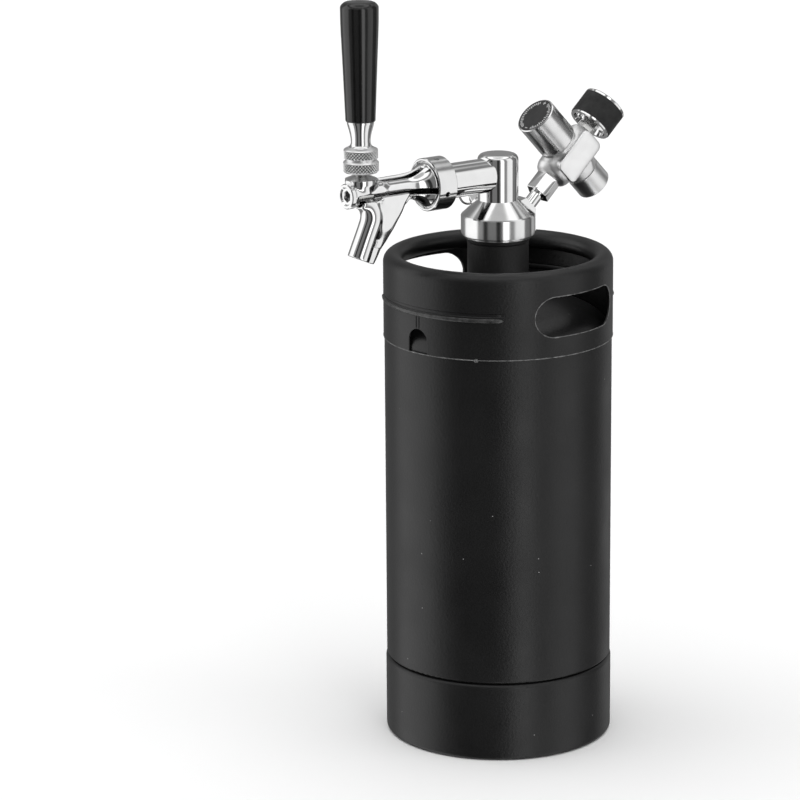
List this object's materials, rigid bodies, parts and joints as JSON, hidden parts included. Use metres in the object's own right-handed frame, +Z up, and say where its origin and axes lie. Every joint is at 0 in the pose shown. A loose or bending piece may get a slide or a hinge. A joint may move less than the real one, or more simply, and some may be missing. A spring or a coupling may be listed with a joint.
{
  "type": "soda keg",
  "caption": "Small cylindrical pressure keg with rolled rim and hand holes, screw-on tap head with a long-handled beer tap, and a tilted gas regulator with a round gauge.",
  "frame": {"origin": "centre of the keg's foot, on the surface it stands on", "axes": "+Z up along the keg's axis; the tap reaches toward -Y, the regulator toward +Y, the relief valve toward -X"},
  "size_m": [0.1612, 0.2357, 0.5362],
  "materials": {
    "black_coat": "matt textured powder coat",
    "chrome": "polished",
    "brushed": "satin turned",
    "cast_silver": "fine satin cast",
    "black_handle": "high gloss",
    "black_rubber": "matt",
    "white_seal": "food grade nylon",
    "brass_insert": "turned",
    "spring_steel": "drawn wire",
    "dial_white": "printed enamel",
    "needle_black": "enamel",
    "clear_lens": "clear",
    "black_disc": "moulded",
    "plate_silver": "bright satin"
  },
  "bodies": {
    "keg": {"tank_shell": "black_coat", "neck_collar": "black_coat", "top_chime": "black_coat", "foot_chime": "black_coat"},
    "gasket": {"neck_gasket": "black_rubber"},
    "head": {"bell": "chrome", "column": "chrome", "arm": "chrome", "dip_tube": "brushed", "dip_tube_seal": "black_rubber", "dip_tube_nut": "brushed", "coupling_nut": "chrome", "coupling_gasket": "black_rubber", "tap_body": "chrome", "front_plug": "chrome", "tap_bonnet": "chrome", "gas_tube": "chrome", "check_poppet": "white_seal", "check_spring": "spring_steel", "relief_body": "chrome", "relief_cap": "chrome", "relief_spring": "spring_steel"},
    "tap_lever": {"lever_pin": "brushed", "lever_ring": "chrome", "lock_ring": "chrome", "ferrule": "chrome", "handle_insert": "brass_insert", "handle": "black_handle"},
    "tap_plunger": {"plunger": "brushed", "seat_washer": "black_rubber", "plunger_nut": "brushed"},
    "relief_pin": {"relief_stem": "brushed"},
    "pull_ring": {"relief_ring": "brushed"},
    "regulator": {"regulator_body": "cast_silver", "shield_plate": "plate_silver", "swivel_nut": "chrome", "swivel_washer": "white_seal", "spring_sleeve": "brushed", "piston": "brass_insert", "piston_seal": "black_rubber", "range_spring": "spring_steel", "spring_nut": "brass_insert", "cartridge_socket": "brushed", "piercing_pin": "brushed", "cartridge_seal": "black_rubber", "gas_filter": "brass_insert", "gauge_stem": "brushed", "gauge_case": "chrome", "gauge_boot": "black_rubber", "gauge_works": "brass_insert", "gauge_dial": "dial_white", "gauge_lens": "clear_lens", "gauge_bezel": "chrome"},
    "knob": {"knob_shell": "chrome", "knob_disc": "black_disc", "adjust_screw": "brushed"},
    "needle": {"gauge_needle": "needle_black"}
  },
  "joints": [
    {"name": "head_lift", "type": "slide", "parent": "keg", "child": "gasket", "axis": [0, 0, 1], "range_m": [0, 0.34]},
    {"name": "head_turn", "type": "hinge", "parent": "gasket", "child": "head", "pos_m": [0, 0, 0.36], "axis": [0, 0, 1], "continuous": true},
    {"name": "tap_pull", "type": "hinge", "parent": "head", "child": "tap_lever", "pos_m": [0, -0.1164, 0.4125], "axis": [1, 0, 0], "range_deg": [0, 22.9]},
    {"name": "plunger_slide", "type": "slide", "parent": "head", "child": "tap_plunger", "axis": [0, 1, 0], "range_m": [0, 0.00332]},
    {"name": "relief_lift", "type": "slide", "parent": "head", "child": "relief_pin", "axis": [-0.7071, 0, 0.7071], "range_m": [0, 0.003], "stiffness_N_per_m": 1500, "springref_m": -0.003},
    {"name": "ring_swing", "type": "hinge", "parent": "relief_pin", "child": "pull_ring", "pos_m": [-0.03364, 0, 0.39414], "axis": [0, 1, 0], "range_deg": [-10, 120]},
    {"name": "regulator_swivel", "type": "hinge", "parent": "head", "child": "regulator", "pos_m": [0, 0.03549, 0.38622], "axis": [0, 0.7254, 0.6884], "continuous": true},
    {"name": "knob_turn", "type": "hinge", "parent": "regulator", "child": "knob", "pos_m": [0, 0.05196, 0.42116], "axis": [0, -0.6884, 0.7254], "range_deg": [0, 720]},
    {"name": "needle_swing", "type": "hinge", "parent": "regulator", "child": "needle", "pos_m": [0, 0.09221, 0.44005], "axis": [0, 0.7254, 0.6884], "range_deg": [-270, 0], "stiffness_Nm_per_rad": 0.0002}
  ],
  "couplings": [
    {"joint": "plunger_slide", "follows": "tap_pull", "m_per_rad": 0.0083}
  ]
}
